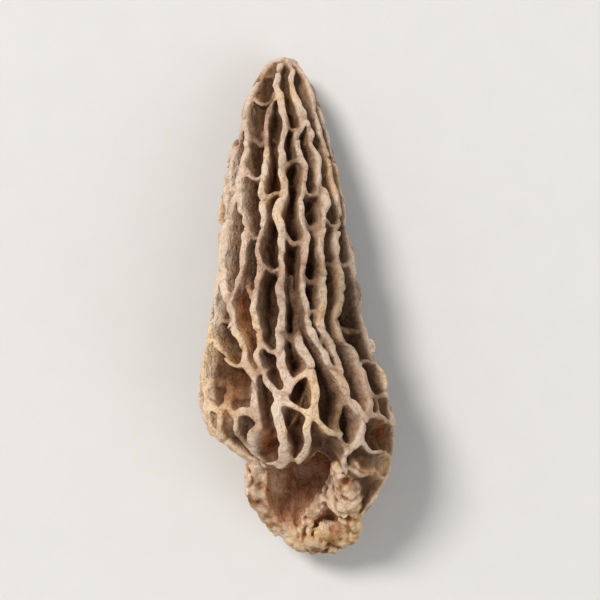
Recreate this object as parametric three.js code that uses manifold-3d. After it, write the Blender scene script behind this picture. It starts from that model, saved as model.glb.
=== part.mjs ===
// Dried morel mushroom, one piece, lying on its side on a flat surface.
//
// Units are millimetres. +Z is up from the surface it rests on, +Y runs from the
// cut end of the stem stub to the tip of the cap, and X runs across the cap.
// The origin is on the resting surface, under the centre of the bounding box.
//
// The cap is a slightly flattened, lopsided cone covered in a honeycomb of
// ridges and pits. A short stem stub leaves its wide end. Stub and cap share one
// hollow, which opens at the stub's slanting cut.

import * as THREE from 'three';
import { mergeVertices } from 'three/addons/utils/BufferGeometryUtils.js';
import Module from 'manifold-3d';

// ---------------------------------------------------------------- dimensions

// Cap sections, from the wide end to the tip. s is the distance along the
// mushroom from the lowest point of the stub's rim. left and right are the
// crest line's X on either side, height is the half height of the section.
const CAP_SECTIONS = [
  // s,     left,  right, height, centre above the surface
  [1.86, 1.24, 1.24, 0.0, 5.60],
  [2.48, 0.92, 2.79, 1.35, 5.60],
  [3.41, 0.60, 4.18, 2.05, 5.60],
  [4.65, -0.55, 5.21, 2.80, 5.60],
  [5.89, -2.35, 5.98, 3.45, 5.60],
  [6.82, -3.60, 6.35, 4.20, 5.58],
  [7.75, -4.80, 6.57, 5.05, 5.56],
  [8.99, -6.10, 6.60, 5.62, 5.52],
  [10.23, -6.54, 6.45, 5.76, 5.50],
  [12.09, -6.76, 5.95, 5.66, 5.41],
  [14.57, -6.57, 5.15, 5.31, 5.06],
  [16.74, -6.29, 4.65, 5.02, 4.77],
  [18.91, -6.01, 4.31, 4.74, 4.49],
  [21.39, -5.83, 3.97, 4.48, 4.23],
  [24.49, -5.58, 3.50, 4.12, 3.87],
  [27.59, -5.15, 2.91, 3.66, 3.41],
  [30.69, -4.40, 2.11, 3.00, 2.76],
  [32.86, -3.66, 1.36, 2.32, 2.44],
  [34.41, -2.85, 0.56, 1.56, 2.30],
  [34.88, -2.48, 0.19, 1.20, 2.28],
  [35.34, -1.98, -0.37, 0.74, 2.27],
  [35.65, -1.24, -1.24, 0.0, 2.26],
];

const PIT_DEPTH = 1.6;          // from ridge crest to pit floor on the wide part
const PIT_DEPTH_RATIO = 0.3;    // and never more than this share of the radius
const PIT_WIDTH = 3.3;          // across the cap, crest to crest
const PIT_LENGTH = 6.2;         // along the cap, crest to crest
const CREST_HALF = 0.12;        // half width of a ridge's flat crest
const WALL_RUN = 1.15;          // from the crest's edge to the pit floor

const STUB_RADIUS = 3.97;       // outside of the stem stub
const STUB_CENTRE = [0.33, 5.6];  // X and Z of the stub's axis
const STUB_INSIDE = 3.2;        // radius of the hollow inside the stub
const STUB_ROOT = 11.0;         // s where the stub ends inside the cap
const RIM_S = 4.3;              // s where the slanting cut crosses the axis
const CUT_ANGLE = 46;           // degrees between the cut and a square cut
const CUT_TURN = -20;           // degrees the cut is turned about the axis, negative to the left

const HOLLOW_TIP = 31.2;        // s of the hollow's closed end in the cap
const HOLLOW_SHARE = 0.635;     // hollow's size as a share of the cap section

const REST_TRIM = 0.25;         // crests flattened where the cap rests
const REST_RIDGE_HALF = 0.45;   // half width of the ridge along the contact line

const AROUND = 84;              // facets round the cap
const ALONG = 46;               // rings along the cap
const AROUND_INSIDE = 30;       // facets round the stub and the hollow

const COLOUR = 0xb79a78;        // dry tan flesh
const ROUGHNESS = 0.82;

// ------------------------------------------------------------------- helpers

const clamp = (v, lo, hi) => Math.min(hi, Math.max(lo, v));
const smooth = (lo, hi, v) => {
  const t = clamp((v - lo) / (hi - lo), 0, 1);
  return t * t * (3 - 2 * t);
};

// Shape-preserving cubic through table rows, so sections blend with no ripple.
function curve(rows, column) {
  const x = rows.map((row) => row[0]);
  const y = rows.map((row) => row[column]);
  const n = x.length;
  const slope = [];
  for (let i = 0; i < n - 1; i++) slope.push((y[i + 1] - y[i]) / (x[i + 1] - x[i]));
  const tangent = y.map((_, i) => {
    if (i === 0) return slope[0];
    if (i === n - 1) return slope[n - 2];
    const a = slope[i - 1];
    const b = slope[i];
    return a * b <= 0 ? 0 : (2 * a * b) / (a + b);
  });
  return (at) => {
    const v = clamp(at, x[0], x[n - 1]);
    let i = 0;
    while (i < n - 2 && v > x[i + 1]) i++;
    const h = x[i + 1] - x[i];
    const t = (v - x[i]) / h;
    const t2 = t * t;
    const t3 = t2 * t;
    return (2 * t3 - 3 * t2 + 1) * y[i] + (t3 - 2 * t2 + t) * h * tangent[i]
      + (-2 * t3 + 3 * t2) * y[i + 1] + (t3 - t2) * h * tangent[i + 1];
  };
}

const leftAt = curve(CAP_SECTIONS, 1);
const rightAt = curve(CAP_SECTIONS, 2);
const heightAt = curve(CAP_SECTIONS, 3);
const centreAt = curve(CAP_SECTIONS, 4);

// One section of the cap: its centre, half width and half height.
function section(s) {
  const left = leftAt(s);
  const right = rightAt(s);
  return {
    x: (left + right) / 2,
    z: centreAt(s),
    a: Math.max(0, (right - left) / 2),
    b: Math.max(0, heightAt(s)),
  };
}

// ------------------------------------------------------- honeycomb of the cap

// Repeatable spread of numbers from 0 to 1, so the pits are uneven but fixed.
function spread(i, j, k) {
  const v = Math.sin(i * 127.1 + j * 311.7 + k * 74.7) * 43758.5453;
  return v - Math.floor(v);
}

// Pit centres, in staggered rows; a row has fewer pits where the cap narrows.
const PITS = [];
{
  let row = 0;
  for (let s = 7.4; s < 35; s += PIT_LENGTH * 0.86, row++) {
    const { a, b } = section(s);
    const count = Math.max(4, Math.round((Math.PI * (a + b)) / PIT_WIDTH));
    for (let i = 0; i < count; i++) {
      PITS.push({
        angle: ((i + 0.5 * (row % 2) + 0.5 * (spread(i, row, 1) - 0.5)) / count) * 2 * Math.PI,
        s: s + PIT_LENGTH * 0.45 * (spread(i, row, 2) - 0.5),
      });
    }
  }
}

// 1 on a ridge's crest, 0 on a pit's floor.
function crest(angle, s, radius) {
  let first = Infinity;
  let second = Infinity;
  for (const pit of PITS) {
    let turn = Math.abs(angle - pit.angle) % (2 * Math.PI);
    if (turn > Math.PI) turn = 2 * Math.PI - turn;
    const d = Math.hypot(turn * radius, ((s - pit.s) * PIT_WIDTH) / PIT_LENGTH);
    if (d < first) {
      second = first;
      first = d;
    } else if (d < second) second = d;
  }
  const fromCrest = (second - first) / 2;
  return 1 - smooth(CREST_HALF, CREST_HALF + WALL_RUN, fromCrest);
}

// ------------------------------------------------------------ lathed surfaces

// Turns a profile of [radius, s] points into a solid of revolution about Y and
// moves each of its points with place(angle from +Z, s, radius).
function lathe(profile, segments, place) {
  const points = profile.map(([r, s]) => new THREE.Vector2(r, s));
  const geometry = new THREE.LatheGeometry(points, segments);
  const position = geometry.attributes.position;
  for (let i = 0; i < position.count; i++) {
    const x = position.getX(i);
    const z = position.getZ(i);
    const radius = Math.hypot(x, z);
    let angle = radius > 1e-9 ? Math.atan2(x, z) : 0;
    if (angle < -1e-9) angle += 2 * Math.PI;
    const p = place(Math.max(0, angle), position.getY(i), radius);
    position.setXYZ(i, p[0], p[1], p[2]);
  }
  return geometry;
}

const wasm = await Module();
wasm.setup();

function solid(geometry) {
  const bare = geometry.clone();
  bare.deleteAttribute('normal');
  bare.deleteAttribute('uv');
  const merged = mergeVertices(bare, 1e-4);
  const index = [];
  const source = merged.index.array;
  for (let i = 0; i < source.length; i += 3) {
    const [a, b, c] = [source[i], source[i + 1], source[i + 2]];
    if (a !== b && b !== c && c !== a) index.push(a, b, c);
  }
  return new wasm.Manifold(new wasm.Mesh({
    numProp: 3,
    vertProperties: new Float32Array(merged.attributes.position.array),
    triVerts: new Uint32Array(index),
  }));
}

// Cap: rings set closer together near its two ends.
const capStart = CAP_SECTIONS[0][0];
const capEnd = CAP_SECTIONS[CAP_SECTIONS.length - 1][0];
const capProfile = [];
for (let j = 0; j <= ALONG; j++) {
  const t = j / ALONG;
  const eased = 0.62 * t + 0.38 * (0.5 - 0.5 * Math.cos(Math.PI * t));
  const s = capStart + (capEnd - capStart) * eased;
  const { a, b } = section(s);
  capProfile.push([j === 0 || j === ALONG ? 0 : (a + b) / 2, s]);
}
const cap = solid(lathe(capProfile, AROUND, (angle, s, radius) => {
  const { x, z, a, b } = section(s);
  if (radius < 1e-6) return [x, s, z];
  const under = smooth(4.5, 8.5, s) * (1 - smooth(34.0, 35.4, s));
  const deep = Math.min(PIT_DEPTH, PIT_DEPTH_RATIO * radius) * under;
  const fromRest = Math.abs(angle - Math.PI) * radius;
  const restRidge = 1 - smooth(REST_RIDGE_HALF, REST_RIDGE_HALF + WALL_RUN, fromRest);
  const height = Math.max(crest(angle, s, radius), restRidge);
  const lump = 1 + 0.018 * Math.sin(3 * angle + 0.35 * s) + 0.014 * Math.sin(5 * angle - 0.5 * s + 1);
  const steady = 1 + (lump - 1) * smooth(0.25, 1.1, Math.abs(angle - Math.PI));
  const share = (1 - (deep * (1 - height)) / radius) * steady;
  return [x + a * share * Math.sin(angle), s, z + b * share * Math.cos(angle)];
}));

// Stem stub: a slightly waisted, uneven round, to be cut on the slant.
const stubProfile = [[0, -4.5]];
for (let j = 0; j <= 9; j++) {
  const s = -4.5 + ((STUB_ROOT + 4.5) * j) / 9;
  stubProfile.push([STUB_RADIUS - 0.28 * smooth(4.5, 8.0, s), s]);
}
stubProfile.push([0, STUB_ROOT]);
const stub = solid(lathe(stubProfile, AROUND_INSIDE, (angle, s, radius) => {
  const r = radius * (1 + 0.02 * Math.sin(2 * angle + 0.6) + 0.015 * Math.sin(5 * angle + 0.3 * s));
  return [STUB_CENTRE[0] + r * Math.sin(angle), s, STUB_CENTRE[1] + r * Math.cos(angle)];
}));

// The cut's block is turned so that one face is the slanting cut.
function block(width, depth, height, place) {
  const geometry = new THREE.BoxGeometry(width, depth, height);
  geometry.applyMatrix4(place);
  return solid(geometry);
}
const cutPlace = new THREE.Matrix4()
  .makeTranslation(STUB_CENTRE[0], RIM_S, STUB_CENTRE[1])
  .multiply(new THREE.Matrix4().makeRotationY(THREE.MathUtils.degToRad(CUT_TURN)))
  .multiply(new THREE.Matrix4().makeRotationX(THREE.MathUtils.degToRad(-CUT_ANGLE)))
  .multiply(new THREE.Matrix4().makeTranslation(0, -15, 0));
const cutBlock = block(40, 30, 40, cutPlace);

// Hollow: the stub's round bore, widening into the cap and closing near its tip.
const hollowProfile = [[0, -6]];
const hollowRings = [-6, 1, 5.5, 7.5, 9, 11, 13.5, 16, 18.5, 21, 23.5, 26, 28.2, 29.8, 30.8];
for (const s of hollowRings) hollowProfile.push([1, s]);
hollowProfile.push([0, HOLLOW_TIP]);
const hollow = solid(lathe(hollowProfile, AROUND_INSIDE, (angle, s, radius) => {
  const inCap = smooth(6.0, 11.0, s);
  const { x, z, a, b } = section(Math.max(s, 10));
  const closing = Math.sqrt(Math.max(0, 1 - Math.pow(clamp((s - 20) / (HOLLOW_TIP - 20), 0, 1), 2.6)));
  const wide = (1 - inCap) * STUB_INSIDE + inCap * HOLLOW_SHARE * a * closing;
  const tall = (1 - inCap) * STUB_INSIDE + inCap * HOLLOW_SHARE * b * closing;
  const cx = (1 - inCap) * STUB_CENTRE[0] + inCap * x;
  const cz = (1 - inCap) * STUB_CENTRE[1] + inCap * z;
  if (radius < 1e-6) return [cx, s, cz];
  return [cx + wide * Math.sin(angle), s, cz + tall * Math.cos(angle)];
}));

// Everything below the resting surface is flattened away.
const under = block(60, 80, 20, new THREE.Matrix4().makeTranslation(0, 15, -10));

const morel = cap.add(stub.subtract(cutBlock)).subtract(hollow).subtract(under);

// --------------------------------------------------------------------- result

const mesh = morel.getMesh();
const corners = new Float32Array((mesh.vertProperties.length / mesh.numProp) * 3);
for (let i = 0; i < corners.length / 3; i++) {
  for (let k = 0; k < 3; k++) corners[3 * i + k] = mesh.vertProperties[mesh.numProp * i + k];
}
const geometry = new THREE.BufferGeometry();
geometry.setAttribute('position', new THREE.BufferAttribute(corners, 3));
geometry.setIndex(new THREE.BufferAttribute(new Uint32Array(mesh.triVerts), 1));
geometry.computeBoundingBox();
const { min, max } = geometry.boundingBox;
geometry.translate(-(min.x + max.x) / 2, -(min.y + max.y) / 2, -min.z);
geometry.computeVertexNormals();

const dried_morel = new THREE.Mesh(
  geometry,
  new THREE.MeshStandardMaterial({ color: COLOUR, roughness: ROUGHNESS, metalness: 0 }),
);
dried_morel.name = 'dried_morel';

const object = new THREE.Group();
object.name = 'dried_morel_mushroom';
object.add(dried_morel);

export default object;
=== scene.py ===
import math
import time

import bpy
import numpy as np
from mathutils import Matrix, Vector


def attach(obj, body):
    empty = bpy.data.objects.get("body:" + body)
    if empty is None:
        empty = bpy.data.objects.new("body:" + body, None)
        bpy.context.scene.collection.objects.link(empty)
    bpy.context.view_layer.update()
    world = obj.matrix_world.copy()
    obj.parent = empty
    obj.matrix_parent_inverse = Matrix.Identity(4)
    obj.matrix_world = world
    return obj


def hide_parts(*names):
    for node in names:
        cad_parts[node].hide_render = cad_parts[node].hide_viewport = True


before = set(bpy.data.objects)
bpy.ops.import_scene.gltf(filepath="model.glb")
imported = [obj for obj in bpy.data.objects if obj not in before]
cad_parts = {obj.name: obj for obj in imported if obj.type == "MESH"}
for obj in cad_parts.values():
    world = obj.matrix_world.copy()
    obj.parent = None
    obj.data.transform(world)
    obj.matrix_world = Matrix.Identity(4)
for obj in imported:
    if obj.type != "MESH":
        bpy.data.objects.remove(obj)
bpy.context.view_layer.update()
T0 = time.time()
F = np.float32


def say(*words):
    print("[morel %.1fs]" % (time.time() - T0), *words, flush=True)


# ---------------------------------------------------------------- dimensions

VOXEL = 0.09
MAX_TRIANGLES = 192000

SHIFT = (-0.06, -17.904, 0.0)      # from X, S, Z to the part's own frame

CAP = np.array([
    # s, left, right, half height, centre above the surface
    [1.86, 1.24, 1.24, 0.0, 5.60],
    [2.48, 0.92, 2.79, 1.35, 5.60],
    [3.41, 0.60, 4.18, 2.05, 5.60],
    [4.65, -0.55, 5.21, 2.80, 5.60],
    [5.89, -1.85, 5.98, 3.45, 5.60],
    [6.82, -3.05, 6.35, 4.20, 5.58],
    [7.75, -4.42, 6.57, 5.05, 5.56],
    [8.99, -6.08, 6.60, 5.62, 5.52],
    [10.23, -6.58, 6.45, 5.76, 5.50],
    [12.09, -6.76, 5.95, 5.66, 5.41],
    [14.57, -6.57, 5.15, 5.31, 5.06],
    [16.74, -6.29, 4.65, 5.02, 4.77],
    [18.91, -6.01, 4.31, 4.74, 4.49],
    [21.39, -5.83, 3.97, 4.48, 4.23],
    [24.49, -5.58, 3.50, 4.12, 3.87],
    [27.59, -5.15, 2.91, 3.66, 3.41],
    [30.69, -4.40, 2.11, 3.00, 2.76],
    [32.86, -3.66, 1.36, 2.32, 2.44],
    [34.41, -2.85, 0.56, 1.56, 2.30],
    [34.88, -2.48, 0.19, 1.20, 2.28],
    [35.34, -1.98, -0.37, 0.74, 2.27],
    [35.65, -1.24, -1.24, 0.0, 2.26],
])
S_LOW, S_TOP = CAP[0, 0], CAP[-1, 0]

STUB_R = 3.86
STUB_X, STUB_Z = 0.33, 5.6
STUB_BORE = 3.16
RIM_S = 4.45
CUT_ANGLE = math.radians(46)
CUT_TURN = math.radians(-20)
HOLLOW_TIP = 31.2
HOLLOW_SHARE = 0.63


# ------------------------------------------------------------------- helpers

def smooth(lo, hi, v):
    t = np.clip((v - lo) / (hi - lo), 0, 1)
    return (t * t * (3 - 2 * t)).astype(F)


def curve(column):
    """Shape-preserving cubic through a column of the cap table."""
    x, y = CAP[:, 0], CAP[:, column]
    slope = np.diff(y) / np.diff(x)
    tan = np.zeros_like(y)
    tan[0], tan[-1] = slope[0], slope[-1]
    a, b = slope[:-1], slope[1:]
    ok = a * b > 0
    tan[1:-1][ok] = 2 * a[ok] * b[ok] / (a[ok] + b[ok])

    def at(v):
        v = np.clip(np.asarray(v, float), x[0], x[-1])
        i = np.clip(np.searchsorted(x, v, side="right") - 1, 0, len(x) - 2)
        h = x[i + 1] - x[i]
        t = (v - x[i]) / h
        t2, t3 = t * t, t * t * t
        return ((2 * t3 - 3 * t2 + 1) * y[i] + (t3 - 2 * t2 + t) * h * tan[i]
                + (-2 * t3 + 3 * t2) * y[i + 1] + (t3 - t2) * h * tan[i + 1])
    return at


left_at, right_at, height_at, centre_at = curve(1), curve(2), curve(3), curve(4)


def section(s):
    left, right = left_at(s), right_at(s)
    return ((left + right) / 2, centre_at(s),
            np.maximum(1e-3, (right - left) / 2), np.maximum(1e-3, height_at(s)))


def smin(a, b, k):
    h = np.clip(0.5 + 0.5 * (b - a) / k, 0, 1)
    return b + (a - b) * h - k * h * (1 - h)


def smax(a, b, k):
    return -smin(-a, -b, k)


def spline_rows(n, cells):
    """Weights that spread cells + 3 random knots smoothly over n points."""
    t = np.linspace(0, cells, n, endpoint=True)
    i = np.minimum(t.astype(int), cells - 1)
    f = t - i
    w = np.zeros((n, cells + 3), F)
    rows = np.arange(n)
    w[rows, i] = (1 - f) ** 3 / 6
    w[rows, i + 1] = (3 * f ** 3 - 6 * f ** 2 + 4) / 6
    w[rows, i + 2] = (-3 * f ** 3 + 3 * f ** 2 + 3 * f + 1) / 6
    w[rows, i + 3] = f ** 3 / 6
    return w


def field_noise(shape, size_mm, wave, seed):
    """Smooth noise of about -1 to 1 on a regular grid; wave is its wavelength in mm, one or per axis."""
    wave = np.broadcast_to(np.asarray(wave, float), (len(shape),))
    cells = [max(1, int(round(l / w))) for l, w in zip(size_mm, wave)]
    out = np.random.RandomState(seed).uniform(-1, 1, [c + 3 for c in cells]).astype(F)
    for axis, (n, c) in enumerate(zip(shape, cells)):
        out = np.moveaxis(np.tensordot(spline_rows(n, c), out, axes=(1, axis)), 0, axis)
    return out * F(1.9 if len(shape) == 3 else 1.6)


def ring_noise(rows, cols, height_mm, around, wave_rows, seed):
    """Noise on the chart: rows along the cap, columns round it, meeting at the seam."""
    c = max(1, int(round(height_mm / wave_rows)))
    knots = np.random.RandomState(seed).uniform(-1, 1, (c + 3, around)).astype(F)
    knots = np.concatenate([knots, knots[:, :3]], axis=1)
    wide = spline_rows(cols + 1, around)[:cols]
    return (spline_rows(rows, c) @ knots @ wide.T) * F(1.6)


def blur(a, reach, wrap=False):
    """Three box blurs along both axes of a chart."""
    out = a.astype(np.float64)
    for _ in range(3):
        for axis in (0, 1):
            mode = "wrap" if (wrap and axis == 1) else "edge"
            pad = [(0, 0), (0, 0)]
            pad[axis] = (reach + 1, reach)
            c = np.cumsum(np.pad(out, pad, mode=mode), axis=axis)
            n = 2 * reach + 1
            if axis == 0:
                out = (c[n:] - c[:-n]) / n
            else:
                out = (c[:, n:] - c[:, :-n]) / n
    return out.astype(F)


# --------------------------------------------------------------- ridge network
# The chart is the crest surface unrolled: rows run along S, columns round the
# cap from the top (angle 0) towards +X. Ridge lines are drawn on it, and each
# of its points knows how far the nearest ridge is.

ROWS, COLS = ((880, 1024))
CHART_S = np.linspace(S_LOW, S_TOP, ROWS)
CHART_A = np.arange(COLS) * (2 * math.pi / COLS)


def surface(angle, s):
    cx, cz, a, b = section(s)
    return np.stack([cx + a * np.sin(angle), s + 0 * angle, cz + b * np.cos(angle)], -1)


def on_face(points):
    """Points (x, s) seen from above, as angle and s on the chart's upper side."""
    p = np.asarray(points, float)
    cx, _, a, _ = section(p[:, 1])
    return np.stack([np.arcsin(np.clip((p[:, 0] - cx) / a, -0.985, 0.985)), p[:, 1]], -1)


def U(*points):
    """Points on a unit plan: x from the middle, s down from the tip, in tenths of a unit of 3.1 mm."""
    return [((x - 229) * 0.31, (519 - y) * 0.31) for x, y in points]


# Ridges of the upper side: (crest's drop below the crest surface, thickness, line)
UPPER = [
    (0.00, 1.70, U((222.6, 405.6), (219.4, 411), (216.4, 420), (213.8, 430), (212.3, 440), (211.4, 450), (211.0, 457), (210.0, 467), (208.9, 475), (208.9, 483), (210.2, 488.8), (213, 491.8), (216.8, 494.6), (219.5, 497.5), (223, 500))),
    (0.00, 1.05, U((227.6, 405.6), (230, 409), (233.5, 416), (236.2, 424), (238.4, 433), (240.0, 443), (241.2, 452), (242.5, 461), (243.9, 468.2), (246.1, 474.7), (247.7, 480.1), (248.8, 485), (250.0, 489.9), (250.2, 494.2), (248.8, 499), (245.7, 503.8), (242.3, 507.8))),
    # long ridges, left to right
    (0.00, 1.47, U((215.8, 435), (214.2, 441), (213.2, 447), (212.2, 453), (212.2, 458), (213.4, 463.6), (214.6, 468.2), (216.8, 472), (217.3, 475.4), (219, 480), (220, 484.4), (220, 489.8), (218.9, 494.7), (219.5, 498.5))),
    (0.05, 1.12, U((216.6, 419.5), (217, 427), (215.8, 435), (216.6, 444), (217.2, 451), (216.2, 457.5), (213.4, 463.6))),
    (0.05, 1.09, U((224.7, 407.2), (223.4, 413), (222.2, 421), (221.2, 427), (221.8, 433), (220.6, 440), (221.2, 446), (220.2, 452), (220.6, 457.5), (219.5, 461.8), (219.8, 468), (220.3, 472.5), (220.2, 476), (222.2, 480), (224.6, 483.6))),
    (0.00, 1.50, U((223.5, 413), (225.2, 418.5), (226.2, 424), (225, 431), (225.8, 438), (224.6, 445), (225.4, 452), (225.3, 460), (225.2, 466), (225.5, 470.4), (225, 474.7), (226, 479), (226.8, 482), (225.2, 485), (224.8, 489), (226, 493.4), (225.6, 498), (225.8, 501))),
    (0.05, 1.42, U((229.0, 470.5), (229.5, 472.5), (230.9, 477), (232, 481.2), (232.1, 485), (231.5, 489), (230.4, 493), (229, 496), (228.4, 499.5))),
    (0.80, 0.90, U((227.8, 458), (228.4, 464), (229.0, 470.5))),
    (0.00, 1.14, U((227.0, 406.6), (227.6, 413), (229.6, 421), (229, 427), (230.6, 434), (229.8, 441), (230.8, 448), (230.2, 455), (230.5, 463), (231.2, 469.3), (233.6, 473.6), (236.3, 479), (239, 483.4), (241.4, 487))),
    (0.00, 1.26, U((228.2, 416), (231, 421.5), (233.2, 429), (234.2, 435), (235.4, 442), (234.2, 449), (234.9, 455), (234.4, 461.7), (234.1, 468.2), (235.8, 472.8), (237.6, 477.5), (238.6, 481.6), (240.6, 485.2), (242.6, 488.4))),
    (0.05, 1.21, U((231.9, 412.8), (233.2, 418.5), (234.9, 425), (236.4, 431), (237.6, 437), (238.8, 443), (238, 449), (238.5, 455), (238.8, 461), (238, 466), (238, 470.4), (240.7, 473.6), (242.8, 478), (243.9, 482.3), (243.4, 486), (242.8, 488.8), (241.7, 492), (239.2, 495.8), (237.6, 500.4), (237.4, 503))),
    # links and webs, lower half
    (0.15, 0.85, U((209.2, 470), (210.8, 472), (212.0, 473.6), (213.6, 475.9), (215.6, 477.2), (217.6, 477))),
    (0.20, 0.80, U((226.8, 482.2), (228.7, 480.2), (231.2, 478.6))),
    (0.15, 0.80, U((225.6, 484.8), (229.3, 486.2), (231.4, 488.4))),
    (0.25, 1.35, U((232.1, 485), (232.8, 488.6), (235.2, 491), (238, 491.4))),
    (0.15, 0.85, U((243.9, 482.3), (246, 483.2), (248.2, 482.2))),
    (0.10, 0.90, U((242.9, 488), (245, 487.2), (249.4, 488.2))),
    (0.15, 0.90, U((241.6, 492.4), (244, 494.6), (247, 494.4), (250.2, 495.5))),
    (0.30, 0.90, U((239, 497.5), (242, 499.4), (245, 499), (248.4, 500))),
    (0.25, 0.75, U((245.6, 483.2), (246.4, 485.2), (245.8, 487.2))),
    (0.30, 1.45, U((209.5, 484.5), (211.4, 486.2), (213.0, 485.2), (215.0, 487.4), (217.4, 486.6), (219.8, 488.0))),
    (0.30, 1.35, U((212.2, 485.8), (212.0, 488.4), (213.0, 491.4))),
    (0.30, 1.35, U((215.4, 487.4), (215.8, 490.4), (217.4, 493.6))),
    (0.55, 1.30, U((212.6, 483.2), (213.6, 484.4), (213.2, 485.6))),
    (0.10, 1.00, U((218.9, 494.7), (221.7, 497), (225.4, 497))),
    (0.85, 1.50, U((209.5, 480), (212.4, 480.6), (215, 483), (219, 482.5))),
    (0.60, 0.75, U((238.8, 484), (237.4, 487), (237.8, 491), (239.6, 494.8))),
    (0.45, 0.80, U((220.3, 472.5), (222.6, 474.6), (225, 474.7))),
    (0.60, 0.80, U((225.5, 470.6), (227.4, 471.6), (229.2, 471.4))),
    (0.60, 0.80, U((231.0, 467), (232.6, 465.6), (234.2, 466.6))),
    (0.60, 0.80, U((233.4, 473.4), (234.6, 472), (235.8, 472.6))),
    (0.55, 0.80, U((238.0, 468), (240.6, 469.4), (244, 468.6))),
    (0.50, 0.80, U((242.0, 476.5), (244.2, 475.4), (246.4, 475.6))),
    (0.50, 0.80, U((217.0, 460), (218.4, 462.4), (219.6, 462.4))),
    (0.55, 0.80, U((210.2, 466), (212.2, 467.2), (214.4, 467))),
    (0.60, 0.75, U((219.8, 479), (222.0, 478.6))),
    # links, upper half
    (0.45, 0.80, U((211.9, 445), (212.6, 444), (213.4, 445))),
    (0.50, 0.80, U((216.9, 447), (219, 449.6), (220.8, 449))),
    (0.45, 0.80, U((216.0, 433), (218.6, 435.6), (221.6, 435))),
    (0.50, 0.80, U((220.7, 441), (223, 439.2), (225.4, 439.6))),
    (0.50, 0.80, U((225.2, 448), (228, 450.6), (230.6, 450))),
    (0.45, 0.80, U((225.4, 434), (228, 431.6), (230.2, 432))),
    (0.55, 0.80, U((230.3, 445), (232.6, 447), (234.6, 446))),
    (0.40, 0.80, U((230.2, 438), (232.4, 439.6), (234.9, 438.6))),
    (0.45, 0.80, U((235.2, 443.5), (237, 446), (238.4, 446))),
    (0.45, 0.80, U((238.3, 453), (240, 455), (241.4, 454))),
    (0.45, 0.80, U((226.2, 421), (227.6, 424), (229.3, 424))),
    (0.45, 0.80, U((217.2, 425), (219.4, 427.4), (221.4, 426))),
    (0.50, 0.80, U((232.6, 427), (234.4, 429), (235.8, 428.4))),
    (0.55, 0.80, U((220.4, 455), (222.8, 457), (225.3, 456.4))),
    (0.60, 0.80, U((230.2, 457.5), (232.4, 459), (234.6, 458.4))),
    (0.60, 0.80, U((234.6, 456), (236.6, 454.6), (238.5, 455.4))),
    (0.50, 0.80, U((212.8, 436.5), (214, 438), (215, 438))),
    (0.35, 0.85, U((217.9, 415.4), (220.4, 417.4), (222.8, 416.8))),
    (0.50, 0.80, U((220.0, 424.5), (221.0, 425.2), (221.6, 425))),
]
EDGE_LEFT, EDGE_RIGHT = 0, 1      # the two lines that bound the drawn part


PATCHES = [(*U((px, py))[0], rx * 0.31, ry * 0.31, v) for px, py, rx, ry, v in (
    (215.8, 482.5, 3.5, 5.5, 0.62), (214.4, 488.0, 3.2, 2.4, 0.42), (219.9, 500.4, 1.5, 2.6, -1.0),
    (243.2, 480.5, 1.4, 4.5, -0.7), (246.0, 490.5, 2.2, 4.0, 0.9), (222.6, 492.5, 2.2, 3.5, 0.9),
    (239.6, 477.0, 1.6, 4.0, 0.6), (228.4, 476.5, 1.4, 3.0, 0.6), (217.0, 466.0, 2.2, 7.0, 0.6),
    (245.5, 479.0, 2.0, 3.0, 0.5), (236.0, 485.0, 3.0, 4.5, -1.0), (228.0, 489.0, 2.0, 3.0, -0.9),
    (229.0, 482.5, 1.5, 1.5, -0.7), (222.0, 482.5, 1.6, 3.0, -0.8), (222.6, 468.0, 1.6, 8.0, -0.9),
    (233.0, 468.0, 1.5, 9.0, -0.8),
    (228.0, 466.0, 2.0, 8.0, -0.9), (241.4, 469.0, 2.2, 8.0, -0.9))]

PALE = [(*U((px, py))[0], rx * 0.31, ry * 0.31, v) for px, py, rx, ry, v in (
    (224.8, 485.0, 2.2, 3.0, 0.55), (220.0, 486.5, 1.6, 7.0, 0.35), (217.0, 472.5, 2.0, 3.0, 0.30),
    (214.6, 487.6, 3.2, 3.4, 0.50), (234.2, 490.0, 2.2, 1.8, 0.35), (231.4, 468.0, 1.2, 6.0, 0.25),
    (246.4, 498.0, 3.0, 4.5, 0.45))]

# Broad places painted darker (below zero) or paler than the rest: painted shade over the upper right flank, painted
# light in the shaded roof of the mouth and in shaded pits, and darker or paler tone elsewhere.
PAINTED_LIGHT_AND_TONE = [(*U((px, py))[0], rx * 0.31, ry * 0.31, v) for px, py, rx, ry, v in (
    (239.5, 464.0, 5.0, 15.0, -0.43), (227.5, 467.0, 4.5, 11.0, -0.18), (227.5, 488.5, 6.0, 6.0, 0.75),
    (237.2, 487.0, 2.6, 6.0, -0.24), (246.6, 498.5, 3.4, 4.6, 0.50), (220.5, 501.5, 3.0, 3.5, 0.30),
    (231.6, 496.6, 5.0, 2.4, 0.70), (234.0, 515.5, 7.5, 3.0, -0.30),
    (230.8, 510.0, 1.8, 1.6, 0.45), (215.0, 487.0, 3.2, 5.5, 0.16),
    (240.6, 503.0, 2.2, 3.5, 0.20), (245.5, 487.0, 3.0, 4.0, 0.10), (241.8, 497.4, 1.8, 1.8, 0.35))]


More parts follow.
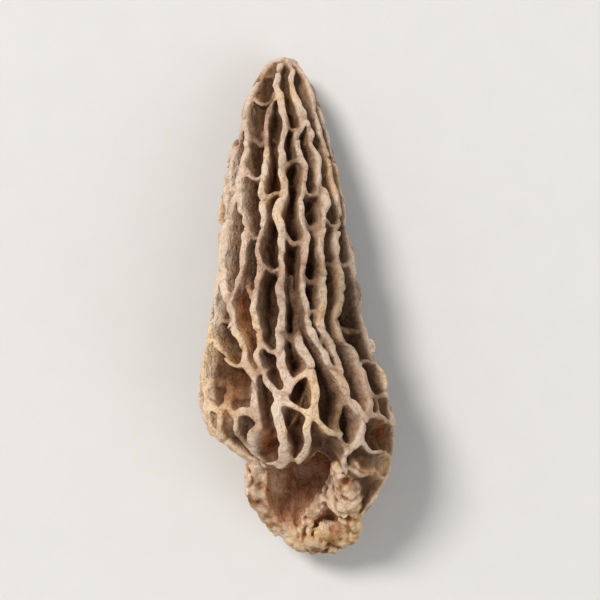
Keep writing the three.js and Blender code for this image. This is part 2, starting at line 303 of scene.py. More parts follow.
def draw_lines():
    """Samples the drawn ridges: angle, s, drop, thickness; and the bounding lines as angle of s."""
    out = []
    rng = np.random.RandomState(5)
    bounds = {}
    for number, (drop, thick, line) in enumerate(UPPER):
        p = on_face(line)
        q = surface(p[:, 0], p[:, 1])
        run = np.concatenate([[0], np.cumsum(np.linalg.norm(np.diff(q, axis=0), axis=1))])
        t = np.arange(0, run[-1], 0.03)
        # Catmull-Rom through the points, so that the ridges have no corners
        pts = np.vstack([2 * p[0] - p[1], p, 2 * p[-1] - p[-2]])
        i = np.clip(np.searchsorted(run, t, side="right") - 1, 0, len(p) - 2)
        f = ((t - run[i]) / (run[i + 1] - run[i]))[:, None]
        p0, p1, p2, p3 = pts[i], pts[i + 1], pts[i + 2], pts[i + 3]
        c = 0.5 * (2 * p1 + (p2 - p0) * f + (2 * p0 - 5 * p1 + 4 * p2 - p3) * f ** 2
                   + (3 * p1 - p0 - 3 * p2 + p3) * f ** 3)
        # a small wander of its own
        _, _, a, b = section(c[:, 1])
        wander = sum(rng.uniform(0.3, 1.0) * w * np.sin(t * k + rng.uniform(0, 6.28))
                     for k, w in ((1.3, 0.10), (2.3, 0.09), (3.7, 0.06), (6.1, 0.035)))
        fade = np.minimum(1, np.minimum(t, run[-1] - t) / 0.8)
        c[:, 0] += wander * fade / np.maximum(0.5 * (a + b), 2.4)
        if number in (EDGE_LEFT, EDGE_RIGHT):
            bounds[number] = c.copy()
        out.append(np.column_stack([c, np.full(len(c), drop), np.full(len(c), thick)]))
    return np.vstack(out), bounds


def far_pits(bounds):
    """Labels the rest of the chart with long uneven pits and returns its ridge points."""
    rng = np.random.RandomState(11)
    seeds = []
    s = S_LOW + 0.4
    row = 0
    while s < S_TOP - 0.3:
        _, _, a, b = section(s)
        count = max(3, int(round(math.pi * (a + b) / 1.78)))
        for i in range(count):
            seeds.append(((i + 0.5 * (row % 2) + rng.uniform(-0.36, 0.36)) / count * 2 * math.pi,
                          s + rng.uniform(-1.25, 1.25), rng.uniform(-0.28, 0.28)))
        s += 3.15 if s > 8 else 2.4
        row += 1
    seeds = np.array(seeds)
    _, _, a, b = section(CHART_S)
    radius = ((a + b) / 2)[:, None]
    warp_a = ring_noise(ROWS, COLS, S_TOP - S_LOW, 17, 2.3, 21)
    warp_s = ring_noise(ROWS, COLS, S_TOP - S_LOW, 13, 3.1, 22)
    warp_b = ring_noise(ROWS, COLS, S_TOP - S_LOW, 36, 1.1, 23)
    warp_c = ring_noise(ROWS, COLS, S_TOP - S_LOW, 30, 1.3, 24)
    ang = CHART_A[None, :] + (0.30 * warp_a + 0.20 * warp_b) / np.maximum(radius, 1.6)
    along = CHART_S[:, None] + 0.60 * warp_s + 0.35 * warp_c
    best = np.full((ROWS, COLS), 1e9, F)
    label = np.zeros((ROWS, COLS), np.int32)
    for k, (sa, ss, size) in enumerate(seeds):
        lo = np.searchsorted(CHART_S, ss - 7)
        hi = np.searchsorted(CHART_S, ss + 7)
        turn = np.abs(ang[lo:hi] - sa)
        turn = np.minimum(turn, np.abs(2 * math.pi - turn))
        turn = np.minimum(turn, np.abs(turn + 2 * math.pi))
        d = ((turn * radius[lo:hi]) ** 2 + ((along[lo:hi] - ss) / 2.25) ** 2 - size).astype(F)
        win = d < best[lo:hi]
        best[lo:hi][win] = d[win]
        label[lo:hi][win] = k
    right = label != np.roll(label, -1, axis=1)
    down = np.zeros_like(right)
    down[:-1] = label[:-1] != label[1:]
    # keep only what lies outside the drawn part
    el = bounds[EDGE_LEFT][np.argsort(bounds[EDGE_LEFT][:, 1])]
    er = bounds[EDGE_RIGHT][np.argsort(bounds[EDGE_RIGHT][:, 1])]
    a_left = np.interp(CHART_S, el[:, 1], el[:, 0])[:, None]
    a_right = np.interp(CHART_S, er[:, 1], er[:, 0])[:, None]
    ang0 = (CHART_A[None, :] + math.pi) % (2 * math.pi) - math.pi
    outside = (ang0 < a_left) | (ang0 > a_right)
    ring = (CHART_S > 3.2)[:, None] & (CHART_S < S_TOP - 0.25)[:, None]
    r, c = np.nonzero((right | down) & outside & ring)
    here = label[r, c]
    there = np.where(right[r, c], label[r, (c + 1) % COLS], label[np.minimum(r + 1, ROWS - 1), c])
    gap_s = np.abs(seeds[here, 1] - seeds[there, 1])
    turn = np.abs(seeds[here, 0] - seeds[there, 0])
    turn = np.minimum(turn, 2 * math.pi - turn)
    gap_a = turn * radius[r, 0]
    across = gap_s / (gap_s + 2.0 * gap_a + 1e-6)       # 1 where the ridge runs round the cap
    pair = np.minimum(here, there) * 1009 + np.maximum(here, there)
    own = np.sin(pair * 12.9898) * 43758.5453
    own = own - np.floor(own)
    # some neighbours run together into one long pit
    keep = ~((across > 0.62) & (own < 0.26))
    r, c, across, own = r[keep], c[keep], across[keep], own[keep]
    drop = 0.05 + 0.55 * smooth(0.35, 0.8, across) + 0.25 * own
    thick = 1.12 - 0.25 * smooth(0.3, 0.8, across) - 0.12 * own
    return np.column_stack([CHART_A[c], CHART_S[r], drop, thick])


def spread_nearest(points):
    """Jump flooding on the chart: the distance to the nearest ridge, and that ridge's drop and thickness."""
    place = surface(points[:, 0], points[:, 1]).astype(F)
    grid = surface(CHART_A[None, :], CHART_S[:, None] + 0 * CHART_A[None, :]).astype(F)
    near = np.full((ROWS, COLS), -1, np.int64)
    r = np.clip(np.rint((points[:, 1] - S_LOW) / (S_TOP - S_LOW) * (ROWS - 1)).astype(int), 0, ROWS - 1)
    c = np.rint(points[:, 0] / (2 * math.pi) * COLS).astype(int) % COLS
    near[r, c] = np.arange(len(points))
    dist = np.full((ROWS, COLS), 1e9, F)
    hit = near >= 0
    dist[hit] = ((grid[hit] - place[near[hit]]) ** 2).sum(-1)
    steps = [64, 32, 16, 8, 4, 2, 1, 1]
    for step in steps:
        for dr in (-step, 0, step):
            for dc in (-step, 0, step):
                if dr == 0 and dc == 0:
                    continue
                other = np.roll(near, (0, dc), (0, 1))
                if dr:
                    moved = np.full_like(other, -1)
                    if dr > 0:
                        moved[dr:] = other[:-dr]
                    else:
                        moved[:dr] = other[-dr:]
                    other = moved
                ok = other >= 0
                d = np.full((ROWS, COLS), 1e9, F)
                d[ok] = ((grid[ok] - place[other[ok]]) ** 2).sum(-1)
                win = d < dist
                dist[win] = d[win]
                near[win] = other[win]
    dist = np.sqrt(dist)
    return dist, points[near, 2].astype(F), points[near, 3].astype(F)


drawn, bounding = draw_lines()
drawn[:, 0] %= 2 * math.pi
far = far_pits(bounding)
say("ridge points", len(drawn), len(far))
WIDE, DROP, THICK = spread_nearest(np.vstack([drawn, far]))
WIDE = WIDE * smooth(0.12, 0.5, S_TOP - CHART_S)[:, None]
weight = np.exp(-(WIDE / 0.22) ** 2) + 1e-4
px = max(1, int(round(0.15 / ((S_TOP - S_LOW) / ROWS))))
WIDE = np.minimum(WIDE, blur(WIDE, px, wrap=True))
px = max(1, int(round(0.22 / ((S_TOP - S_LOW) / ROWS))))
total = blur(weight, px, wrap=True)
DROP = blur(DROP * weight, px, wrap=True) / total
THICK = blur(THICK * weight, px, wrap=True) / total
say("chart ready")
# CHART-END

# ------------------------------------------------------------------ the solid
# A field on a regular grid: below zero is flesh. Its zero surface is the mesh.

X0, X1, S0, S1, Z0, Z1 = -7.5, 7.4, -1.0, 36.2, -0.35, 12.2
NX, NS, NZ = [int(round((b - a) / VOXEL)) + 1 for a, b in ((X0, X1), (S0, S1), (Z0, Z1))]
XS = (X0 + VOXEL * np.arange(NX)).astype(F)
SS = (S0 + VOXEL * np.arange(NS)).astype(F)
ZS = (Z0 + VOXEL * np.arange(NZ)).astype(F)
SHAPE = (NX, NS, NZ)
SIZE = (X1 - X0, S1 - S0, Z1 - Z0)
x3, s3, z3 = XS[:, None, None], SS[None, :, None], ZS[None, None, :]


def noise(wave, seed):
    return field_noise(SHAPE, SIZE, wave, seed)


def granules(where, cell, seed):
    """Distance to the nearest of many scattered points, in cells, at the chosen voxels."""
    at = np.stack([XS[where[0]], SS[where[1]], ZS[where[2]]], -1) / F(cell)
    base = np.floor(at).astype(np.int64)
    best = np.full(len(at), 9.0, F)
    for dx in (-1, 0, 1):
        for dy in (-1, 0, 1):
            for dz in (-1, 0, 1):
                c = base + np.array([dx, dy, dz])
                mark = (c[:, 0] * 73856093 ^ c[:, 1] * 19349663 ^ c[:, 2] * 83492791) + seed * 9176
                d = np.zeros(len(at), F)
                for axis in range(3):
                    mark = (mark * 1103515245 + 12345) & 0x7FFFFFFF
                    point = c[:, axis] + 0.5 + 0.8 * ((mark >> 8) % 65536 / 65536.0 - 0.5)
                    d += ((at[:, axis] - point) ** 2).astype(F)
                best = np.minimum(best, d)
    return np.sqrt(best)


def build_field():
    cx, cz, a, b = [v.astype(F) for v in section(SS)]
    e = (x3 - cx[None, :, None]) / a[None, :, None]
    g = (z3 - cz[None, :, None]) / b[None, :, None]
    rho = np.sqrt(e * e + g * g) + F(1e-5)
    flat = np.sqrt((e / a[None, :, None]) ** 2 + (g / b[None, :, None]) ** 2) / rho
    steep = np.gradient(rho, VOXEL, axis=1)
    crest = (rho - 1) / np.sqrt(flat * flat + steep * steep + F(1e-6))
    away = (rho - 1) * np.minimum(a, b)[None, :, None]
    crest = np.where(rho > 1.5, np.maximum(crest, away), crest)
    crest = np.maximum(crest, np.maximum(s3 - F(S_TOP), F(S_LOW) - s3))
    np.clip(crest, -4.5, 2.5, out=crest)
    angle = np.arctan2(e, g)
    del e, g, rho, flat, steep, away
    # uneven, dried form; less so where it rests
    lift = smooth(0.2, 2.5, z3)
    crest += (F(0.13) * noise((5.0, 6.0, 5.0), 1) + F(0.06) * noise(2.2, 2)) * lift
    say("crest surface")

    radius = ((a + b) / 2)[None, :, None]
    depth = -crest
    band = (crest < 0.45) & (crest > -3.2)
    ix, iy, iz = np.nonzero(band)
    h = depth[band]
    r = ((a + b) / 2)[iy]
    # walls lean and waver as they go down
    lean = np.clip(h, 0, 2) * F(0.22)
    lateral = noise((1.9, 3.2, 1.9), 3)[band] * lean + noise((0.9, 1.2, 0.9), 4)[band] * F(0.045)
    endwise = noise((2.4, 2.6, 2.4), 5)[band] * lean + noise((0.8, 1.0, 0.8), 6)[band] * F(0.06)
    ang = angle[band] + lateral / np.maximum(r, 1.2)
    sv = SS[iy] + endwise
    del lateral, endwise
    row = np.clip((sv - S_LOW) / (S_TOP - S_LOW) * (ROWS - 1), 0, ROWS - 1.001)
    col = (ang / (2 * math.pi) * COLS) % COLS
    r0 = row.astype(np.int32)
    c0 = col.astype(np.int32) % COLS
    c1 = (c0 + 1) % COLS
    fr, fc = (row - r0).astype(F), (col - np.floor(col)).astype(F)

    def look(chart):
        top = chart[r0, c0] * (1 - fc) + chart[r0, c1] * fc
        low = chart[r0 + 1, c0] * (1 - fc) + chart[r0 + 1, c1] * fc
        return top * (1 - fr) + low * fr
    wide, drop, thick = look(WIDE), look(DROP), look(THICK)
    wide = wide * (1 - F(0.5) * np.clip(h / np.maximum(r, 1.5), 0, 0.8))
    say("chart on grid", len(h))

    # how far down the pits go
    pit = np.minimum(F(1.85), F(0.38) * r)
    pit = pit * (1 + F(0.16) * noise((2.2, 3.4, 2.2), 7)[band]) + F(0.09) * noise(0.9, 8)[band]
    # the shallow pit low on the left
    px_, ps_ = XS[ix], SS[iy]
    left_pit = np.exp(-((px_ + 4.3) / 1.5) ** 2 - ((ps_ - 11.3) / 1.8) ** 2) * (ZS[iz] > 6.5)
    left_web = np.exp(-((px_ + 4.2) / 1.5) ** 2 - ((ps_ - 8.8) / 1.2) ** 2) * (ZS[iz] > 6.0)
    right_low = (np.exp(-((px_ - 4.7) / 1.8) ** 2 - ((ps_ - 6.9) / 1.9) ** 2)
                 + np.exp(-((px_ - 5.2) / 0.9) ** 2 - ((ps_ - 11.0) / 1.5) ** 2)
                 + 0.55 * np.exp(-((px_ - 3.8) / 0.9) ** 2 - ((ps_ - 6.8) / 0.9) ** 2)) * (ZS[iz] > 6.0)
    right_low = np.minimum(right_low, 1.35)
    mid_low = np.exp(-((px_ + 0.5) / 2.2) ** 2 - ((ps_ - 9.4) / 2.0) ** 2) * (ZS[iz] > 6.0)
    pit = pit * (1 - F(0.45) * left_pit.astype(F)) * (1 - F(0.62) * left_web.astype(F)) \
        * (1 - F(0.58) * right_low.astype(F)) * (1 - F(0.42) * mid_low.astype(F))
    q = np.sqrt((px_ - STUB_X) ** 2 + (ZS[iz] - STUB_Z) ** 2)
    clear = np.maximum(smooth(0.0, 0.9, q - 3.3), smooth(7.0, 8.2, ps_))
    pit = F(0.30) + (pit - F(0.30)) * clear

    half = (F(0.148) + F(0.035) * np.exp(-((h - 0.10) / 0.2) ** 2) + F(0.20) * smooth(0.25, 1.7, h)) * thick
    half = half * (1 + F(0.34) * noise(1.0, 9)[band]) + F(0.045) * noise((0.36, 0.45, 0.36), 25)[band]
    low = drop * np.minimum(1, pit / F(1.4)) + F(0.20) * noise((1.2, 1.5, 1.2), 10)[band] \
        + F(0.10) * noise(0.5, 11)[band] + F(0.03)
    # nicks across the crests
    low += np.clip(1 - np.abs(noise((1.7, 1.3, 1.7), 28)[band]) / F(0.12), 0, 1) * F(0.22)
    low = np.maximum(low, F(-0.12)) * (1 - smooth(S_TOP - 1.3, S_TOP - 0.5, SS[iy]))
    ridge = smax(wide - half, low - h, F(0.11))
    # low wrinkles wander over the floors of the pits
    fold = np.clip(1 - np.abs(noise((1.4, 1.7, 1.4), 26)[band]) / F(0.2), 0, 1) * F(0.36)
    fold += np.clip(1 - np.abs(noise((0.8, 1.0, 0.8), 32)[band]) / F(0.3), 0, 1) * F(0.14)
    floor = pit - fold - h + F(0.06) * noise(0.42, 12)[band]
    flesh_band = smin(ridge, floor, F(0.26))

    cap = np.where(crest > 0, F(1.0), F(-1.0)) * F(0.6)
    cap[band] = flesh_band
    cap = smax(cap, s3 - F(S_TOP - 0.14), F(0.4))
    pit_all = np.full(SHAPE, F(1.5))
    pit_all[band] = pit
    wide_all = np.full(SHAPE, F(1.0))
    wide_all[band] = wide
    on_ridge = np.exp(-(wide_all / F(0.35)) ** 2)
    say("cap field")

    # stem stub
    dx, dz = x3 - F(STUB_X), z3 - F(STUB_Z)
    # slanting torn cut
    nx_, nz_ = math.sin(CUT_TURN) * math.sin(CUT_ANGLE), math.cos(CUT_TURN) * math.sin(CUT_ANGLE)
    ns_ = -math.cos(CUT_ANGLE)
    cut = F(nx_) * dx + F(nz_) * dz + F(ns_) * (s3 - F(RIM_S))
    torn = F(0.26) * noise(1.7, 16) + F(0.10) * noise(0.7, 17)
    cut = cut + torn
    curl = smooth(-1.5, 0.3, cut)
    q = np.sqrt(dx * dx + dz * dz) + 0 * s3
    phi = np.arctan2(dx, dz)
    furrow = (0.11 * np.sin(3 * phi + 0.8 + 0.22 * s3) + 0.08 * np.sin(7 * phi - 1.3 - 0.3 * s3)
              + 0.05 * np.sin(13 * phi + 0.5 * s3 + 2)).astype(F)
    rough = F(0.17) * noise((1.7, 2.4, 1.7), 13) + F(0.12) * noise(0.8, 14) + F(0.05) * noise(0.34, 15)
    near_cut = smooth(-3.2, -0.6, cut)
    crumbs = np.full(SHAPE, F(0.55))
    spot = np.nonzero((q > 1.0) & (q < 4.7) & (np.abs(cut) < 3.6) & (s3 < 8.5))
    large = granules(spot, 0.88, 3)
    small = granules(spot, 0.46, 4)
    share = np.clip(F(0.5) + F(0.5) * noise(1.6, 34)[spot], 0.15, 0.85)
    crumbs[spot] = share * np.clip(large, 0, 1) + (1 - share) * np.clip(small, 0, 1)
    rugged = F(0.55) + F(0.45) * smooth(-0.6, 0.9, np.sin(phi - F(0.6)))
    grains = F(0.62) * (F(0.50) - crumbs) * rugged + F(0.12) * noise((1.3, 1.5, 1.3), 33)
    rough = rough + grains * (F(0.25) + F(0.50) * near_cut)
    stub = q - F(STUB_R) + F(0.55) * curl + F(0.25) * smooth(4.5, 7.0, s3) + F(2.2) * smooth(6.6, 9.6, s3) - furrow - rough
    stub = np.maximum(stub, s3 - F(9.8))
    # under the cap it stays below the pits' floors
    under = (s3 > F(7.0)) & (depth > F(0.1))
    stub = np.where(under, np.maximum(stub, pit_all + F(0.2) - depth), stub)
    stub = smax(stub, cut + F(0.9) * np.exp(-((phi - F(0.1)) / F(0.75)) ** 2), F(0.25))
    # the cap's edge above the mouth is ragged, its ridges reaching out furthest
    lip = np.interp(XS, [-3.7, -3.0, -2.2, -1.2, -0.3, 0.7, 1.9, 2.6, 3.2, 3.9, 4.6],
                    [-4.0, 5.4, 6.2, 6.8, 7.2, 7.5, 7.7, 7.2, 6.0, 4.2, -4.0]).astype(F)[:, None, None]
    lip = lip + F(0.25) * noise(1.4, 29) - F(0.55) * (on_ridge - F(0.4))
    cap = smax(cap, np.minimum(lip - s3, cut + F(0.45)), F(0.18))
    say("stub field")

    flesh = smin(cap, stub, F(0.22))

    # the hollow
    in_cap = smooth(6.0, 11.0, SS)
    cx2, cz2, a2, b2 = [v.astype(F) for v in section(np.maximum(SS, 10))]
    closing = np.sqrt(np.clip(1 - np.clip((SS - 20) / (HOLLOW_TIP - 20), 0, 1) ** 2.6, 0, 1)).astype(F)
    wx = (1 - in_cap) * STUB_BORE + in_cap * HOLLOW_SHARE * a2 * closing
    wz = (1 - in_cap) * STUB_BORE + in_cap * HOLLOW_SHARE * b2 * closing
    hx = (1 - in_cap) * STUB_X + in_cap * cx2
    hz = (1 - in_cap) * STUB_Z + in_cap * cz2
    wx, wz = np.maximum(wx, 1e-3).astype(F), np.maximum(wz, 1e-3).astype(F)
    rho = np.sqrt(((x3 - hx[None, :, None]) / wx[None, :, None]) ** 2
                  + ((z3 - hz[None, :, None]) / wz[None, :, None]) ** 2)
    hollow = (rho - 1) * ((wx + wz) / 2)[None, :, None]
    hollow = np.maximum(hollow, s3 - F(HOLLOW_TIP))
    hollow += F(0.14) * noise((1.3, 3.0, 1.3), 18) + F(0.06) * noise(0.7, 19)
    crease = np.clip(1 - np.abs(noise((0.9, 1.9, 0.9), 40)) / F(0.24), 0, 1) * F(0.26)
    crease += np.clip(1 - np.abs(noise((0.55, 0.9, 0.55), 41)) / F(0.3), 0, 1) * F(0.10)
    hollow += crease * (1 - smooth(9.0, 12.0, s3))
    # but it keeps clear of the pits' floors
    kept = pit_all + F(0.42) - depth
    kept = np.where(q > F(STUB_BORE + 0.15), kept, kept - F(3.0) * (1 - smooth(6.8, 7.8, s3)))
    hollow = np.where(band, np.maximum(hollow, kept), hollow)
    hollow = hollow + F(0.5) * curl * (1 - smooth(5.6, 8.0, s3))
    np.clip(hollow, -2, 2, out=hollow)
    flesh = smax(flesh, -hollow, F(0.15))
    say("hollow field")

    # the cut's edge is rolled and thick, most of all low on the right
    below = (phi - 2.72 + math.pi) % (2 * math.pi) - math.pi
    lobe = (0.40 - 0.2 * np.exp(-(phi / 0.6) ** 2) + 0.86 * np.exp(-((phi - 1.35) / 0.46) ** 2)
            + 0.66 * np.exp(-(below / 0.62) ** 2) - 0.10 * np.exp(-((phi + 2.2) / 0.6) ** 2)
            - 0.44 * np.exp(-((phi - 1.98) / 0.27) ** 2) + 0.26 * np.exp(-((phi + 1.05) / 0.40) ** 2)).astype(F)
    lobe = lobe + F(0.17) * noise(1.2, 20)
    ring = F(3.86) - lobe
    rim_s = F(RIM_S) + (F(nx_) * np.sin(phi) + F(nz_) * np.cos(phi)) * ring / F(-ns_) + torn / F(-ns_)
    reach = F(1.0) - F(0.28) * np.abs(np.sin(phi + F(0.35)))
    bead = np.sqrt((q - ring) ** 2 + ((s3 - rim_s - F(0.55) * lobe) * reach) ** 2) - lobe
    crack = np.clip(1 - np.abs(noise((0.95, 1.1, 0.95), 42)) / F(0.20), 0, 1) * F(0.26)
    crack += np.clip(1 - np.abs(noise((0.5, 0.6, 0.5), 43)) / F(0.26), 0, 1) * F(0.10)
    crack *= F(0.30) + F(0.70) * smooth(-1.3, -0.5, cut)
    bead = smax(bead - F(0.68) * grains + crack - F(0.06), s3 - F(6.9) - F(0.5) * noise(1.1, 35), F(0.3))
    bead = np.where(under, np.maximum(bead, pit_all + F(0.2) - depth), bead)
    bead = bead + (1 - smooth(0.40, 0.78, np.abs(phi + F(0.10))))
    # a torn tongue leans from the right of the rim into the mouth and down to its floor
    near_x, near_s, near_z = (XS > -1.4) & (XS < 4.8), (SS > 0.6) & (SS < 7.2), (ZS > 0.8) & (ZS < 8.2)
    box = np.ix_(near_x, near_s, near_z)
    spots = np.stack(np.meshgrid(XS[near_x], SS[near_s], ZS[near_z], indexing="ij"), -1)
    tongue = np.full(spots.shape[:3], F(3.0))
    chain = ((3.0, 5.4, 5.7, 0.80), (1.95, 4.65, 5.2, 0.70), (1.05, 3.90, 4.5, 0.42), (0.50, 3.15, 3.5, 0.38),
             (0.3, 2.4, 2.6, 0.50))
    upper = ((2.9, 6.0, 6.0, 0.48), (1.95, 5.15, 5.5, 0.38), (1.15, 4.10, 4.7, 0.34))
    for p, q_ in [*zip(chain[:-1], chain[1:]), *zip(upper[:-1], upper[1:])]:
        p0, run = np.array(p[:3], F), np.array(q_[:3], F) - np.array(p[:3], F)
        t = np.clip(((spots - p0) @ run) / F(run @ run), 0, 1)
        gap = np.linalg.norm(spots - p0 - t[..., None] * run, axis=-1)
        tongue = smin(tongue, gap - (F(p[3]) + t * F(q_[3] - p[3])), F(0.12))
    bead[box] = smin(bead[box], tongue - F(0.6) * grains[box] + crack[box] - F(0.06), F(0.20))
    # the rim is pricked with small holes
    spot = np.nonzero((bead < 0.3) & (bead > -0.7))
    holes = granules(spot, 1.25, 12)
    bead[spot] = bead[spot] + smooth(0.30, 0.10, holes) * F(0.55) * (phi + 0 * bead)[spot].clip(0, 1)
    flesh = smin(flesh, bead, F(0.24))

    flesh = np.maximum(flesh, -z3)
    say("flesh")
    return flesh, depth, pit_all, wide_all, stub, cap, hollow, bead, crumbs


def join_diagonals(f):
    """Fills one more corner wherever flesh meets itself only across a grid square's diagonal,
    so that no edge of the surface has more than two faces."""
    for _ in range(8):
        inside = f < 0
        found = 0
        for axis in range(3):
            u, v = [o for o in range(3) if o != axis]

            def corner(du, dv):
                sl = [slice(None)] * 3
                sl[u], sl[v] = slice(du, f.shape[u] - 1 + du), slice(dv, f.shape[v] - 1 + dv)
                return inside[tuple(sl)]
            a, b, c, d = corner(0, 0), corner(1, 1), corner(1, 0), corner(0, 1)
            for cross, out in (((a & b) & ~(c | d), ((1, 0), (0, 1))), ((c & d) & ~(a | b), ((0, 0), (1, 1)))):
                at = np.array(np.nonzero(cross))
                if not at.shape[1]:
                    continue
                found += at.shape[1]
                ends = []
                for du, dv in out:
                    e = at.copy()
                    e[u] += du
                    e[v] += dv
                    ends.append(e)
                first = f[tuple(ends[0])] <= f[tuple(ends[1])]
                fill = np.where(first, ends[0], ends[1])
                f[tuple(fill)] = F(-0.25 * VOXEL)
        say("squares joined", found)
        if not found:
            break
    return f


def surface_nets(f):
    """Quads of the zero surface of a grid, facing out of the flesh."""
    inside = f < 0
    nx, ny, nz = f.shape
    # cells that the surface passes
    count = np.zeros((nx - 1, ny - 1, nz - 1), np.uint8)
    for i in (0, 1):
        for j in (0, 1):
            for k in (0, 1):
                count += inside[i:nx - 1 + i, j:ny - 1 + j, k:nz - 1 + k]
    live = (count > 0) & (count < 8)
    number = np.full(live.shape, -1, np.int32)
    ci, cj, ck = np.nonzero(live)
    number[live] = np.arange(len(ci), dtype=np.int32)
    acc = np.zeros((len(ci), 3))
    hits = np.zeros(len(ci))
    corner = {(i, j, k): f[ci + i, cj + j, ck + k] for i in (0, 1) for j in (0, 1) for k in (0, 1)}
    for axis in range(3):
        others = [o for o in range(3) if o != axis]
        for u in (0, 1):
            for v in (0, 1):
                p = [0, 0, 0]
                p[others[0]], p[others[1]] = u, v
                q = list(p)
                q[axis] = 1
                a, b = corner[tuple(p)], corner[tuple(q)]
                cross = (a < 0) != (b < 0)
                t = np.where(cross, a / np.where(cross, a - b, 1), 0)
                add = np.zeros((len(ci), 3))
                add[:, others[0]], add[:, others[1]], add[:, axis] = u, v, t
                acc += add * cross[:, None]
                hits += cross
    verts = (acc / hits[:, None] + np.column_stack([ci, cj, ck])) * VOXEL + np.array([X0, S0, Z0])
    quads = []
    for axis in range(3):
        sl0 = [slice(1, -1)] * 3
        sl1 = [slice(1, -1)] * 3
        sl0[axis] = slice(0, -1)
        sl1[axis] = slice(1, None)
        a, b = inside[tuple(sl0)], inside[tuple(sl1)]
        for change, flip in ((a & ~b, False), (~a & b, True)):
            e = np.array(np.nonzero(change))
            off = np.ones(3, int)
            off[axis] = 0
            e = e + off[:, None]
            o1, o2 = [o for o in range(3) if o != axis]
            cells = []
            for du, dv in ((1, 1), (0, 1), (0, 0), (1, 0)):
                c = e.copy()
                c[o1] -= du
                c[o2] -= dv
                cells.append(number[c[0], c[1], c[2]])
            quad = np.stack(cells, -1)
            if flip ^ (axis == 1):
                quad = quad[:, ::-1]
            quads.append(quad)
    return verts, np.concatenate(quads)


def keep_largest(verts, quads):
    """Drops every loose crumb and keeps the one body."""
    edges = np.concatenate([quads[:, [0, 1]], quads[:, [1, 2]], quads[:, [2, 3]]])
    label = np.arange(len(verts))
    while True:
        low = np.minimum(label[edges[:, 0]], label[edges[:, 1]])
        new = label.copy()
        np.minimum.at(new, edges[:, 0], low)
        np.minimum.at(new, edges[:, 1], low)
        np.minimum.at(new, label[edges[:, 0]], low)
        np.minimum.at(new, label[edges[:, 1]], low)
        while True:
            jump = new[new]
            if (jump == new).all():
                break
            new = jump
        if (new == label).all():
            break
        label = new
    names, sizes = np.unique(label, return_counts=True)
    keep = label == names[sizes.argmax()]
    say("bodies", len(names), "largest", sizes.max(), "of", len(verts))
    order = np.cumsum(keep) - 1
    quads = quads[keep[quads[:, 0]]]
    return verts[keep], order[quads]


def relax(verts, quads, rounds, amount):
    """Evens the surface out without shrinking it."""
    pairs = np.concatenate([quads[:, [0, 1]], quads[:, [1, 2]], quads[:, [2, 3]], quads[:, [3, 0]]])
    a = np.concatenate([pairs[:, 0], pairs[:, 1]])
    b = np.concatenate([pairs[:, 1], pairs[:, 0]])
    n = np.bincount(a, minlength=len(verts))
    flat = verts[:, 2] < 1e-4
    for k in range(rounds):
        for step in (amount, -amount * 1.04):
            mean = np.stack([np.bincount(a, verts[b, c], minlength=len(verts)) for c in range(3)], -1) / n[:, None]
            verts = verts + step * (mean - verts)
            verts[flat, 2] = 0
    return verts


def sample(grid, verts):
    """The grid's value at each point."""
    p = (verts - np.array([X0, S0, Z0])) / VOXEL
    p = np.clip(p, 0, np.array(grid.shape) - 1.001)
    i = p.astype(np.int32)
    f = (p - i).astype(F)
    out = np.zeros(len(verts), F)
    for dx in (0, 1):
        for dy in (0, 1):
            for dz in (0, 1):
                w = ((f[:, 0] if dx else 1 - f[:, 0]) * (f[:, 1] if dy else 1 - f[:, 1])
                     * (f[:, 2] if dz else 1 - f[:, 2]))
                out += w * grid[i[:, 0] + dx, i[:, 1] + dy, i[:, 2] + dz]
    return out


def box3(a, reach):
    """Two box blurs along each axis of a grid."""
    for axis in range(3):
        for _ in range(2):
            pad = [(0, 0)] * 3
            pad[axis] = (reach + 1, reach)
            c = np.cumsum(np.pad(a, pad, mode="edge"), axis=axis, dtype=np.float64)
            n = 2 * reach + 1
            hi = [slice(None)] * 3
            lo = [slice(None)] * 3
            hi[axis] = slice(n, None)
            lo[axis] = slice(None, -n)
            a = ((c[tuple(hi)] - c[tuple(lo)]) / n).astype(F)
    return a


